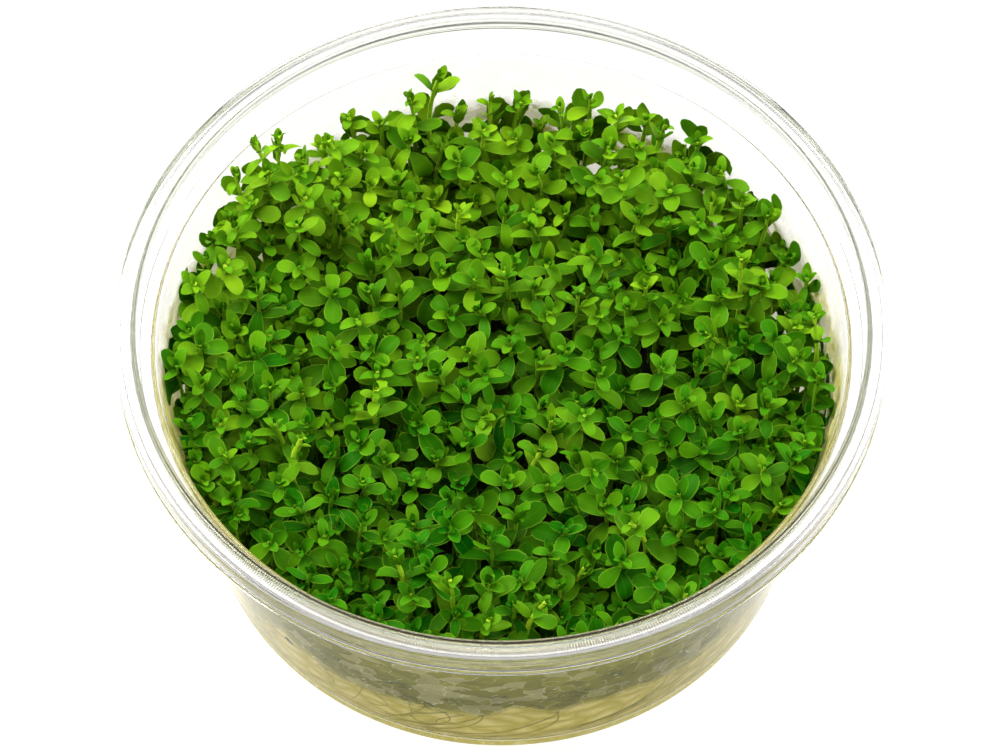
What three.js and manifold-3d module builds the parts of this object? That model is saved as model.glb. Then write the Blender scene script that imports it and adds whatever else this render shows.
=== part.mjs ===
// Pearlweed grown in a clear plastic cup: a carpet of small-leaved shoots on nutrient gel.
//
// Millimetres, +Z up. The origin is the centre of the ring that the cup stands on.
// The plants grow as clumps. Each clump is one mesh: a crown of matted stem bases on the
// gel, the stems that rise from it, and a cross of four leaves at the top of each stem.

import * as THREE from 'three';
import { mergeVertices } from 'three/addons/utils/BufferGeometryUtils.js';
import Module from 'manifold-3d';

const wasm = await Module();
wasm.setup();

// Cup: one thin moulding, from the foot up
const WALL = 1;
const CUP_SIDES = 48;
const CUP_HEIGHT = 44.5;
const FOOT_RING_INNER = 35.5;
const FOOT_RING_OUTER = 38.6;
const FOOT_RING_DEPTH = 1.2;
const BODY_FOOT_RADIUS = 40.5;
const BEND_HEIGHT = 2;
const BEND_BULGE = 0.6;
const INSIDE_BEND = 1.3;
const LEDGE_HEIGHT = 39.5;
const LEDGE_RADIUS = 44.9;
const LEDGE_RISE = 0.4;
const MOUTH_RADIUS = 47.4;
const MOUTH_DRAFT = 0.7;
const RIM_RADIUS = 50;
const RIM_SKIRT_DEPTH = 4.2;
const RIM_SKIRT_WALL = 0.8;

// Gel: a disc that fills the bottom of the cup, with a gap to each neighbour
const GEL_TOP = 11.3;
const GAP = 0.3;

// Pattern of the shoots: rings of 6, 12, 18 and so on round one in the middle
const SHOOT_RINGS = 5;
const SHOOT_PITCH = 7.7;
const PATTERN_TURN = 6;
const PLACE_UNEVENNESS = 0.45;

// Clumps that share out the shoots between them
const CLUMP_RINGS = [
  { count: 1, radius: 0, start: 0 },
  { count: 6, radius: 16.5, start: 30 },
  { count: 12, radius: 33.5, start: 15 },
];
const CROWN_RADIUS = 4.6;
const CROWN_HEIGHT = 1.2;
const CROWN_SIDES = 6;

// Stems and leaves
const STEM_WIDTH = 1.5;
const STEM_TAPER = 0.2;
const STEM_SIDES = 3;
const STEM_FOOT_RADIUS = 3.4;
const LEAF_LENGTH = 5.2;
const LEAF_WIDTH = 3.5;
const LEAF_THICKNESS = 0.5;
const LEAF_WIDEST_AT = 0.66;
const LEAF_JOINT_RADIUS = 1.05;
const YOUNG_LEAF_SCALE = 0.86;
const YOUNG_LEAF_WIDEST_AT = 0.85;
const OLD_LEAF_SLOPE = 0.1;
const YOUNG_LEAF_SLOPE = 0.34;
const LEAVES_IN_CROSS = 4;
const SMALLEST_DETAIL = 0.02;

// Height of the leaf carpet. Next to each other, shoots stand at three different levels.
const CARPET_EDGE = 42.5;
const CARPET_HEIGHT = 32.1;
const CARPET_SIDE_RISE = 6.4;
const CARPET_BACK_RISE = 1.4;
const LEVELS = 3;
const LEVEL_STEP = 1.8;
const LEVEL_UNEVENNESS = 0.25;

// Shoots of the outer ring that stand above the rest, by direction in degrees
const LEADERS = [
  { direction: 102, extra: 8.5 },
  { direction: 138, extra: 3.5 },
  { direction: 54, extra: 3 },
  { direction: 6, extra: 1.5 },
];

const degrees = THREE.MathUtils.degToRad;

function onCircle(radius, angle) {
  return new THREE.Vector2(Math.cos(angle), Math.sin(angle)).multiplyScalar(radius);
}

// A repeatable number from -1 to 1 for each seed
function uneven(seed) {
  const wave = Math.sin(seed * 12.9898) * 43758.5453;
  return 2 * (wave - Math.floor(wave)) - 1;
}

function carpetHeight(x, y) {
  const side = x / CARPET_EDGE;
  return CARPET_HEIGHT + CARPET_SIDE_RISE * side * side + CARPET_BACK_RISE * y / CARPET_EDGE;
}

// Joining is done on closed meshes that share their vertices
function toSolid(geometry) {
  geometry.deleteAttribute('normal');
  geometry.deleteAttribute('uv');
  const merged = mergeVertices(geometry, 1e-4);
  return new wasm.Manifold(new wasm.Mesh({
    numProp: 3,
    vertProperties: new Float32Array(merged.attributes.position.array),
    triVerts: new Uint32Array(merged.index.array),
  }));
}

function toGeometry(solid) {
  const mesh = solid.getMesh();
  const geometry = new THREE.BufferGeometry();
  geometry.setAttribute('position', new THREE.BufferAttribute(mesh.vertProperties, 3));
  geometry.setIndex(new THREE.BufferAttribute(mesh.triVerts, 1));
  geometry.computeVertexNormals();
  return geometry;
}

// Turns an outline of radius and height round the upright axis
function turned(outline) {
  const points = outline.map(([radius, height]) => new THREE.Vector2(radius, height));
  return new THREE.LatheGeometry(points, CUP_SIDES).rotateX(Math.PI / 2);
}

// Outer radius of the drafted wall at a height
function wallRadius(height) {
  const share = (height - BEND_HEIGHT) / (LEDGE_HEIGHT - WALL - BEND_HEIGHT);
  return THREE.MathUtils.lerp(BODY_FOOT_RADIUS, LEDGE_RADIUS + WALL, share);
}

// Cup: a raised floor, a foot ring, a drafted wall, a ledge and an upside-down U as the rim
function cupGeometry() {
  const floorTop = FOOT_RING_DEPTH + WALL;
  const insideFoot = wallRadius(floorTop + INSIDE_BEND) - WALL;
  const skirtInside = RIM_RADIUS - RIM_SKIRT_WALL;
  const skirtFoot = CUP_HEIGHT - RIM_SKIRT_DEPTH;
  const grooveTop = CUP_HEIGHT - WALL;
  const grooveInside = MOUTH_RADIUS + WALL;
  const ledgeOuter = MOUTH_RADIUS - MOUTH_DRAFT;
  return turned([
    [0, FOOT_RING_DEPTH],
    [FOOT_RING_INNER - 1, FOOT_RING_DEPTH],
    [FOOT_RING_INNER, 0],
    [FOOT_RING_OUTER, 0],
    [BODY_FOOT_RADIUS - BEND_BULGE, BEND_BULGE],
    [BODY_FOOT_RADIUS, BEND_HEIGHT],
    [LEDGE_RADIUS + WALL, LEDGE_HEIGHT - WALL],
    [ledgeOuter + WALL, LEDGE_HEIGHT],
    [grooveInside, grooveTop],
    [skirtInside, grooveTop],
    [skirtInside, skirtFoot],
    [RIM_RADIUS, skirtFoot],
    [RIM_RADIUS, CUP_HEIGHT],
    [MOUTH_RADIUS, CUP_HEIGHT],
    [ledgeOuter, LEDGE_HEIGHT + LEDGE_RISE],
    [LEDGE_RADIUS, LEDGE_HEIGHT],
    [insideFoot, floorTop + INSIDE_BEND],
    [insideFoot - INSIDE_BEND, floorTop],
    [0, floorTop],
  ]);
}

function gelGeometry() {
  const floor = FOOT_RING_DEPTH + WALL + GAP;
  const inset = WALL + GAP;
  const insideFoot = wallRadius(floor + INSIDE_BEND) - inset;
  return turned([
    [0, floor],
    [insideFoot - INSIDE_BEND, floor],
    [insideFoot, floor + INSIDE_BEND],
    [wallRadius(GEL_TOP) - inset, GEL_TOP],
    [0, GEL_TOP],
  ]);
}

// Where the shoots stand. Each ring's places are numbered by side and step, as on a hexagon,
// so that no two neighbours are given the same level.
function shootSites() {
  const sites = [{ place: new THREE.Vector2(), level: 0, extra: 0, seed: 0 }];
  for (let ring = 1; ring <= SHOOT_RINGS; ring += 1) {
    for (let i = 0; i < 6 * ring; i += 1) {
      const direction = PATTERN_TURN + i * 60 / ring;
      const side = Math.floor(i / ring);
      const step = i % ring;
      const leader = LEADERS.find((one) => ring === SHOOT_RINGS && one.direction === direction);
      sites.push({
        place: onCircle(ring * SHOOT_PITCH, degrees(direction)),
        level: (side % 2 === 0 ? ring + step : 2 * ring + 2 * step) % LEVELS,
        extra: leader ? leader.extra : 0,
        seed: sites.length,
      });
    }
  }
  return sites;
}

// How long a leaf can grow in a direction before it meets the wall of the cup
function roomFor(place, direction) {
  const along = place.dot(direction);
  return Math.sqrt(along * along - place.lengthSq() + CARPET_EDGE ** 2) - along;
}

// Four leaves in a cross, as one thin plate round a stem, seen from above. Two of them are the
// older pair, and the two between them are younger, shorter and blunt.
function leafOutline(place, turn) {
  const outline = [];
  for (let leaf = 0; leaf < LEAVES_IN_CROSS; leaf += 1) {
    const angle = turn + leaf * 2 * Math.PI / LEAVES_IN_CROSS;
    const along = onCircle(1, angle);
    const across = onCircle(1, angle + Math.PI / 2);
    const isOld = leaf % 2 === 0;
    const scale = isOld ? 1 : YOUNG_LEAF_SCALE;
    const length = Math.min(LEAF_LENGTH * scale, roomFor(place, along));
    const halfWidth = LEAF_WIDTH * scale / 2;
    const widestAt = isOld ? LEAF_WIDEST_AT : YOUNG_LEAF_WIDEST_AT;
    const widest = along.clone().multiplyScalar(length * widestAt);
    outline.push(onCircle(LEAF_JOINT_RADIUS, angle - Math.PI / LEAVES_IN_CROSS));
    outline.push(widest.clone().addScaledVector(across, -halfWidth));
    if (isOld) outline.push(along.clone().multiplyScalar(length));
    outline.push(widest.clone().addScaledVector(across, halfWidth));
  }
  return new THREE.Shape(outline);
}

// The plate follows the carpet's height, and the younger pair of leaves rises more steeply
function leafCross(site, turn, lift) {
  const plate = new THREE.ExtrudeGeometry(leafOutline(site.place, turn), {
    depth: LEAF_THICKNESS,
    bevelEnabled: false,
  });
  const position = plate.attributes.position;
  for (let i = 0; i < position.count; i += 1) {
    const x = position.getX(i);
    const y = position.getY(i);
    const youth = Math.sin(Math.atan2(y, x) - turn) ** 2;
    const slope = THREE.MathUtils.lerp(OLD_LEAF_SLOPE, YOUNG_LEAF_SLOPE, youth);
    const ground = carpetHeight(site.place.x + x, site.place.y + y) + lift;
    position.setXYZ(i, site.place.x + x, site.place.y + y,
      position.getZ(i) + ground + slope * Math.hypot(x, y));
  }
  return plate;
}

// A stem leans from the clump's crown to the place of its leaves
function stemGeometry(foot, place, top) {
  const bottom = GEL_TOP + GAP + CROWN_HEIGHT / 2;
  const length = top - bottom;
  const lean = place.clone().sub(foot).divideScalar(length);
  const topRadius = STEM_WIDTH * (1 - STEM_TAPER) / 2;
  const footRadius = STEM_WIDTH * (1 + STEM_TAPER) / 2;
  return new THREE.CylinderGeometry(topRadius, footRadius, length, STEM_SIDES)
    .rotateX(Math.PI / 2)
    .translate(0, 0, length / 2)
    .applyMatrix4(new THREE.Matrix4().set(
      1, 0, lean.x, foot.x,
      0, 1, lean.y, foot.y,
      0, 0, 1, bottom,
      0, 0, 0, 1,
    ));
}

function shoot(site, centre) {
  const place = site.place.clone();
  place.x += PLACE_UNEVENNESS * uneven(site.seed + 0.1);
  place.y += PLACE_UNEVENNESS * uneven(site.seed + 0.2);
  place.clampLength(0, SHOOT_RINGS * SHOOT_PITCH);
  const foot = centre.clone().add(place.clone().sub(centre).clampLength(0, STEM_FOOT_RADIUS));
  const lift = site.extra - site.level * LEVEL_STEP + LEVEL_UNEVENNESS * uneven(site.seed + 0.3);
  const turn = Math.PI * uneven(site.seed + 0.4);
  const top = carpetHeight(place.x, place.y) + lift + LEAF_THICKNESS / 2;
  const leaves = leafCross({ place }, turn, lift);
  return toSolid(stemGeometry(foot, place, top)).add(toSolid(leaves));
}

// One clump: a crown on the gel and the shoots that rise from it. Slivers that the joining
// leaves, smaller than any real detail, are cleaned away.
function clumpGeometry(centre, sites) {
  const crown = new THREE.CylinderGeometry(CROWN_RADIUS - 1, CROWN_RADIUS, CROWN_HEIGHT, CROWN_SIDES)
    .rotateX(Math.PI / 2)
    .translate(centre.x, centre.y, GEL_TOP + GAP + CROWN_HEIGHT / 2);
  const solid = sites.reduce((clump, site) => clump.add(shoot(site, centre)), toSolid(crown));
  return toGeometry(solid.asOriginal().simplify(SMALLEST_DETAIL)).translate(-centre.x, -centre.y, 0);
}

const clearPlastic = new THREE.MeshStandardMaterial({
  color: '#eef1ec', roughness: 0.08, metalness: 0, transparent: true, opacity: 0.3,
});
const jelly = new THREE.MeshStandardMaterial({ color: '#cfc384', roughness: 0.25, metalness: 0 });

// Leaf green, lighter on the clumps near the wall
function leafGreen(distance) {
  const colour = new THREE.Color('#35800d').lerp(new THREE.Color('#6faf1a'), distance / RIM_RADIUS);
  return new THREE.MeshStandardMaterial({ color: colour, roughness: 0.45, metalness: 0 });
}

function named(name, geometry, material) {
  const mesh = new THREE.Mesh(geometry, material);
  mesh.name = name;
  return mesh;
}

// Shares the shoots out, each to the clump whose centre is nearest
function plantCarpet() {
  const centres = CLUMP_RINGS.flatMap((ring) => Array.from({ length: ring.count },
    (_, i) => onCircle(ring.radius, degrees(ring.start + i * 360 / ring.count))));
  const members = centres.map(() => []);
  for (const site of shootSites()) {
    const distances = centres.map((centre) => centre.distanceTo(site.place));
    members[distances.indexOf(Math.min(...distances))].push(site);
  }
  const plants = new THREE.Group();
  centres.forEach((centre, i) => {
    const name = `clump_${String(i + 1).padStart(2, '0')}`;
    const clump = named(name, clumpGeometry(centre, members[i]), leafGreen(centre.length()));
    clump.position.set(centre.x, centre.y, 0);
    plants.add(clump);
  });
  return plants;
}

const group = new THREE.Group();
group.add(named('cup', cupGeometry(), clearPlastic));
group.add(named('gel', gelGeometry(), jelly));
group.add(plantCarpet());

export default group;
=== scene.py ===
# %% [markdown]
# # Pearlweed in a clear cup
# Pearlweed is a small-leaved water plant. Growers raise it in a clear plastic cup, in sealed
# air, on a layer of nutrient gel. This lesson dresses a finished CAD model of such a cup: the
# CAD solids say where the cup, the gel and each clump of plants are, and every piece made here
# goes exactly there.

# %% Load the CAD model
import math
from functools import partial

import bpy
import numpy as np
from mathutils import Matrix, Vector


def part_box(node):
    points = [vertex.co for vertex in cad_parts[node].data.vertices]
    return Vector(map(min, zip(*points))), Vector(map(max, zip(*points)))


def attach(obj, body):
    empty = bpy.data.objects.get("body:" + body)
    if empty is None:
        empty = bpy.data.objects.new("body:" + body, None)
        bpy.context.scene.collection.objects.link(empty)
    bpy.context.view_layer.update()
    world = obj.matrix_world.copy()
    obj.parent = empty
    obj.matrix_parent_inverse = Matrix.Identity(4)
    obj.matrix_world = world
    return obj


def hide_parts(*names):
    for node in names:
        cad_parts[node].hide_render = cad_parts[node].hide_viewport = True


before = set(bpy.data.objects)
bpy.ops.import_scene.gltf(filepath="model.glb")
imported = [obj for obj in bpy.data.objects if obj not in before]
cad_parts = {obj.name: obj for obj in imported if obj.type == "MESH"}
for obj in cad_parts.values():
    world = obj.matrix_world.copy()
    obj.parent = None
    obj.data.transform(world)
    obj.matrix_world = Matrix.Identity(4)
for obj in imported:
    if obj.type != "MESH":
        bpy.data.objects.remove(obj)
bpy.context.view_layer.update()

# %% [markdown]
# ## Helpers
# Blender works in metres and the cup is small, so sizes are written in millimetres and turned
# to metres once. An operator acts on all that is selected, so everything is deselected before
# a piece is made.

# %% Millimetres and selection
MM = 0.001


def start_piece():
    """Leaves edit mode and clears the selection, ready for the next piece."""
    if bpy.context.object and bpy.context.object.mode == "EDIT":
        bpy.ops.object.mode_set(mode="OBJECT")
    bpy.ops.object.select_all(action="DESELECT")


def report(piece):
    """Prints the size of a piece in millimetres and its number of faces."""
    size = ", ".join(f"{side / MM:.1f}" for side in piece.dimensions)
    print(f"{piece.name}: {size} mm, {len(piece.data.polygons)} faces")


def unit(vector):
    """The same direction with a length of one."""
    return vector / np.linalg.norm(vector)


# %% Colours and shader nodes
def colour(hex_code):
    """Turns an sRGB hex value into the linear colour that a shader needs."""
    parts = [int(hex_code[i:i + 2], 16) / 255 for i in (1, 3, 5)]
    linear = [p / 12.92 if p <= 0.04045 else ((p + 0.055) / 1.055) ** 2.4 for p in parts]
    return (*linear, 1.0)


def add_node(tree, kind, inputs=(), operation=None, **settings):
    """Adds a node, sets its properties, and fills or links its inputs.

    The inputs come by name, or in the order in which the node shows them: a Map Range takes
    the value, the range it comes from and the range it goes to. An input may be a number, a
    hex colour, an output, or a whole node, of which the first output is linked.
    """
    node = tree.nodes.new("ShaderNode" + kind)
    if operation:
        node.operation = operation
    for name, value in settings.items():
        setattr(node, name, value)
    for name, value in inputs.items() if isinstance(inputs, dict) else enumerate(inputs):
        if isinstance(value, str):
            value = colour(value)
        if isinstance(value, bpy.types.Node):
            value = next(output for output in value.outputs if output.enabled)
        if isinstance(value, bpy.types.NodeSocket):
            tree.links.new(value, node.inputs[name])
        else:
            node.inputs[name].default_value = value
    return node


def new_material(name):
    """Makes an empty node material and returns it with a function that adds nodes to it."""
    material = bpy.data.materials.new(name)
    material.use_nodes = True
    material.node_tree.nodes.clear()
    return material, partial(add_node, material.node_tree)


def finish_material(material, surface):
    """Links the last node of a material to its output and prints what was made."""
    add_node(material.node_tree, "OutputMaterial", {"Surface": surface})
    print(f"{material.name}: {len(material.node_tree.nodes)} nodes")
    return material


# %% [markdown]
# ## Camera
# The photograph looks down at the cup from the front, 58 degrees above the table and about
# half a metre away. The lens is worked out from the image's width in pixels, so that the rim
# of the cup spans the same share of the picture.

# %% Camera
IMAGE_WIDTH_PX = 1000
FOCAL_LENGTH_PX = 3781
CAMERA_RISE = math.radians(58.4)
CAMERA_DISTANCE = 500 * MM
CAMERA_TARGET = (-0.18 * MM, 0.0, 29.7 * MM)

bpy.ops.object.camera_add(
    location=(
        CAMERA_TARGET[0],
        CAMERA_TARGET[1] - CAMERA_DISTANCE * math.cos(CAMERA_RISE),
        CAMERA_TARGET[2] + CAMERA_DISTANCE * math.sin(CAMERA_RISE),
    ),
    rotation=(math.pi / 2 - CAMERA_RISE, 0, 0),
)
camera = bpy.context.object
camera.name = "camera"
camera.data.sensor_fit = "HORIZONTAL"
camera.data.sensor_width = 36.0
camera.data.lens = camera.data.sensor_width * FOCAL_LENGTH_PX / IMAGE_WIDTH_PX
camera.data.clip_start = 0.01
bpy.context.scene.camera = camera
print(f"lens {camera.data.lens:.1f} mm")

# %% [markdown]
# ## Floor and light
# The cup stands on a light table: a matt sheet of opal acrylic that glows from below. So the
# picture has a pure white ground with no shadow, and light comes up through the gel. Clear
# plastic is only seen by what it bends and mirrors, and on a sheet that is bright all over it
# would vanish. So a photographer lays dark cards round the cup, just out of the picture. Here
# the Light Path node does the same: it tells how a ray has come to the sheet. The camera sees
# the sheet evenly white. A ray that the plastic bends or mirrors finds it dark further out, and
# dimmer in front of the cup. That and a dark horizon draw the grey lines along the rim. Rays
# that light the leaves find it brighter. Cycles would also aim rays at a glowing sheet of its
# own accord and couldn't tell what they are for, so that is turned off for the sheet.
#
# Two large soft lamps hang behind the cup, the stronger one at the left, and a weak one fills
# in from the front. Soft lamps give leaves broad gentle shading and no hard glints.

# %% Floor
FLOOR_SIZE = 6.0
# How bright the sheet is: for the camera, for rays that light something, for bent rays in
# front of the cup, where it holds a painted shadow of the cup, and for mirrored rays in front
# of the cup, in painted shade, and behind it
SEEN_GLOW = 0.95
LIGHTING_GLOW = 2.5
SHADOW_GLOW = 0.45
MIRRORED_GLOW = (0.14, 1.0)
# Where it dims: from the middle of an oval outwards, and along Y for bent and mirrored rays
OVAL_SHAPE, OVAL_SHIFT = (1.25, 1, 1), (0, -10 * MM, 0)
BRIGHT_REACH, DARK_FROM, DARK_SHARE = 90 * MM, 185 * MM, 0.05
SHADOW_FADE = (-60 * MM, -22 * MM)
MIRRORED_FADE = (-40 * MM, -14 * MM)

start_piece()
bpy.ops.mesh.primitive_plane_add(size=FLOOR_SIZE, location=(0, 0, -0.02 * MM))
floor = bpy.context.object
floor.name = "floor"
opal_sheet, add = new_material("opal_light_table")
place = add("TexCoord").outputs["Object"]
to_back = add("SeparateXYZ", (place,)).outputs["Y"]
ray = add("LightPath").outputs
# The sheet seen from further out is darker
oval = add("VectorMath", (place, OVAL_SHAPE, OVAL_SHIFT), "MULTIPLY_ADD")
distance = add("VectorMath", (oval,), "LENGTH")
near = add("MapRange", (distance, BRIGHT_REACH, DARK_FROM, 1.0, DARK_SHARE))
# Bent rays, rays that have left a matt surface and so light it, and mirrored rays
# Painted shadow and shade: in front of the cup the sheet is dimmer for bent and mirrored rays
bent = add("MapRange", (to_back, *SHADOW_FADE, SHADOW_GLOW, SEEN_GLOW))
lit = add("MapRange", (ray["Diffuse Depth"], 0.0, 1.0, bent, LIGHTING_GLOW))
shaded = add("MapRange", (to_back, *MIRRORED_FADE, *MIRRORED_GLOW))
clean = add("Math", (ray["Is Glossy Ray"], ray["Is Singular Ray"]), "MAXIMUM")
mirrored = add("Math", (ray["Is Reflection Ray"], clean), "MULTIPLY")
glow = add("MapRange", (mirrored, 0.0, 1.0, lit, shaded))
faded = add("Math", (glow, near), "MULTIPLY")
# The camera's own rays
seen = add("MapRange", (ray["Is Camera Ray"], 0.0, 1.0, faded, SEEN_GLOW))
sheet = add("BsdfPrincipled", {
    "Base Color": "#6d6d6c", "Roughness": 0.9, "Specular IOR Level": 0.1,
    "Emission Color": "#fffefc", "Emission Strength": seen})
opal_sheet.cycles.emission_sampling = "NONE"
floor.data.materials.append(finish_material(opal_sheet, sheet))
report(floor)

# %% Room light
# How far up a direction has to point, from 0 for level to 1 for straight up
DARK_UP_TO, WHITE_FROM = 0.25, 0.75

room = bpy.data.worlds.new("white_studio")
bpy.context.scene.world = room
room.use_nodes = True
room.node_tree.nodes.clear()
add = partial(add_node, room.node_tree)
direction = add("TexCoord").outputs["Generated"]
upwards = add("SeparateXYZ", (direction,)).outputs["Z"]
height = add("MapRange", (upwards, DARK_UP_TO, WHITE_FROM), interpolation_type="SMOOTHSTEP")
shade = add("Mix", {"Factor": height, "A": "#141614", "B": "#fbfcfc"}, data_type="RGBA")
background = add("Background", {"Color": shade, "Strength": 0.75})
add("OutputWorld", {"Surface": background})


# %% Lamps
def soft_lamp(name, place_mm, aim_mm, size_mm, watts):
    """Hangs a square soft lamp that points at a place."""
    place = np.array(place_mm) * MM
    aim = np.array(aim_mm) * MM - place
    bpy.ops.object.light_add(type="AREA", location=place)
    lamp = bpy.context.object
    lamp.name = name
    lamp.data.shape = "SQUARE"
    lamp.data.size = size_mm * MM
    lamp.data.energy = watts
    pitch = math.atan2(math.hypot(aim[0], aim[1]), -aim[2])
    lamp.rotation_euler = (pitch, 0, math.atan2(aim[1], aim[0]) - math.pi / 2)
    print(f"{name}: {size_mm} mm, {watts} W")


soft_lamp("left_softbox", (-300, 170, 400), (0, 20, 20), 400, 4.3)
soft_lamp("right_softbox", (300, 190, 400), (0, 20, 20), 400, 2.6)
soft_lamp("front_fill", (240, -400, 420), (0, 0, 20), 260, 0.15)
bpy.context.scene.view_settings.view_transform = "Standard"
bpy.context.scene.view_settings.look = "None"

# %% [markdown]
# ## Places on the wall
# The patterns on the cup follow its round wall, so they are drawn on the wall as if it were
# unrolled: the turn from the front of the cup goes across, the height goes up. Noise moves each
# point a little, because nothing that grew or dried on the wall has an even edge. The gel was
# poured warm and creeps up the wall in waves. The plastic's material and the gel's mesh both
# need their height, so the same waves are written twice, in Python and in nodes.

# %% Unroll the wall
# How much wider the wall gets with height, and the radius that turns an angle into a length
WALL_LEAN = 0.1397
WALL_ARC = 43 * MM
# The waves of the gel: number round the cup, phase, and height as a share of CREEP_HEIGHT
CREEP_WAVES = ((7, 0.4, 0.5), (17, 1.1, 0.4), (31, 0.0, 0.2))
CREEP_HEIGHT = 3.4
CREEP_LEAST = 0.5


def cup_places(add):
    """Radius, height and turn of a point of the cup, and its place on the unrolled wall."""
    place = add("TexCoord").outputs["Object"]
    x, y, z = add("SeparateXYZ", (place,)).outputs
    flat = add("VectorMath", (place, (1, 1, 0)), "MULTIPLY")
    radius = add("VectorMath", (flat,), "LENGTH")
    to_front = add("Math", (y, -1), "MULTIPLY")
    turn = add("Math", (x, to_front), "ARCTAN2")
    along = add("Math", (turn, WALL_ARC), "MULTIPLY")
    on_wall = add("CombineXYZ", (along, z))
    return {"place": place, "radius": radius, "height": z, "turn": turn, "on_wall": on_wall}


def wobble(add, vector, size, amount):
    """Shifts a vector by noise, so that a regular pattern drawn with it turns irregular."""
    noise = add("TexNoise", {"Vector": vector, "Scale": 1 / size, "Detail": 3.0})
    centred = add("VectorMath", (noise.outputs["Color"], (0.5, 0.5, 0.5)), "SUBTRACT")
    shift = add("VectorMath", {0: centred, "Scale": 2 * amount}, "SCALE")
    return add("VectorMath", (vector, shift), "ADD")


def gel_creep(turn):
    """How far the gel creeps up at an angle from the front of the cup, in millimetres."""
    wave = sum(amount * math.sin(count * turn + phase) for count, phase, amount in CREEP_WAVES)
    return CREEP_LEAST + CREEP_HEIGHT * max(wave, 0.0)


def creep_nodes(add, turn):
    """The same height as gel_creep gives, as a node and in metres."""
    total = 0.0
    for count, phase, amount in reversed(CREEP_WAVES):
        angle = add("Math", (turn, count, phase), "MULTIPLY_ADD")
        wave = add("Math", (angle,), "SINE")
        total = add("Math", (wave, amount, total), "MULTIPLY_ADD")
    peaks = add("Math", (total, 0.0), "MAXIMUM")
    return add("Math", (peaks, CREEP_HEIGHT * MM, CREEP_LEAST * MM), "MULTIPLY_ADD")


# %% [markdown]
# ## Fog, leaves and water on the wall
# The plants' breath fogs the inside of the wall: fine droplets that scatter light. Where a leaf
# lies against the wall, the fog takes its olive shade in a patch with its outline, some patches
# paler than others. Along some outlines, and beside them in short slanting streaks, the fog is
# painted pale as painted highlights of water. The leaves reach highest at the front. Cells of a
# Voronoi texture, about as wide as a leaf, make the patches. They are far quicker than a mesh
# of droplets would be, and real leaves stand behind them. A droplet is too fine to show, so the
# clouds in the fog are drawn as 3.5 mm noise.

# %% Where leaves touch the wall
LEAVES_TOUCH, TOUCH_FADE, TOUCH_RAGGED = 32 * MM, 3 * MM, 4 * MM
# How much higher in front, and over which turn to the side that dwindles
TOUCH_MORE_IN_FRONT = 11 * MM
FRONT_FADE = (0.9, 2.2)


def leaf_reach(add, places, clouds):
    """1 where leaves lie against the wall and 0 above: higher in front, with a ragged edge."""
    from_front = add("Math", (places["turn"],), "ABSOLUTE")
    more = add("MapRange", (from_front, *FRONT_FADE, TOUCH_MORE_IN_FRONT, 0.0))
    lowered = add("Math", (places["height"], more), "SUBTRACT")
    ragged = add("Math", (clouds, 2 * TOUCH_RAGGED, -TOUCH_RAGGED), "MULTIPLY_ADD")
    edge = add("Math", (lowered, ragged), "ADD")
    return add("MapRange", (edge, LEAVES_TOUCH - TOUCH_FADE, LEAVES_TOUCH, 1.0, 0.0))


# %% Painted glints of water
# Size and share count in cells of the pattern, which are GLINT_SPACING apart
GLINT_SPACING = 1.3 * MM
GLINT_SIZE = 0.11
GLINT_SHARE = 0.4
GLINT_SLANT = 0.55
GLINT_STRETCH = (2.8, 0.7, 1)


def glints(add, on_wall):
    """1 in short slanting streaks strewn on the wall, which are painted highlights, 0 elsewhere.
    """
    slanted = add("Mapping", {
        "Vector": on_wall, "Rotation": (0, 0, GLINT_SLANT), "Scale": GLINT_STRETCH},
        vector_type="TEXTURE")
    drops = add("TexVoronoi", {
        "Vector": slanted, "Scale": 1 / GLINT_SPACING}, voronoi_dimensions="2D")
    small = add("Math", (drops, GLINT_SIZE), "LESS_THAN")
    lot = add("SeparateColor", (drops.outputs["Color"],)).outputs["Red"]
    some = add("Math", (lot, 1 - GLINT_SHARE), "GREATER_THAN")
    return add("Math", (small, some), "MULTIPLY")


# %% Fog and leaf patches
PATCH_WIDTH = 2.8 * MM
PATCH_HEIGHT_SHARE = 1.5
PATCH_WOBBLE, WOBBLE_SIZE = 1.4 * MM, 2.5 * MM
PALE_FROM, PALE_FULL = 0.66, 0.76
LINE_INNER, LINE_OUTER, LINED_FROM = 0.015, 0.035, 0.6
CLOUD_SIZE = 3.5 * MM
FOG_ABOVE_LEAVES = 0.25


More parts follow.
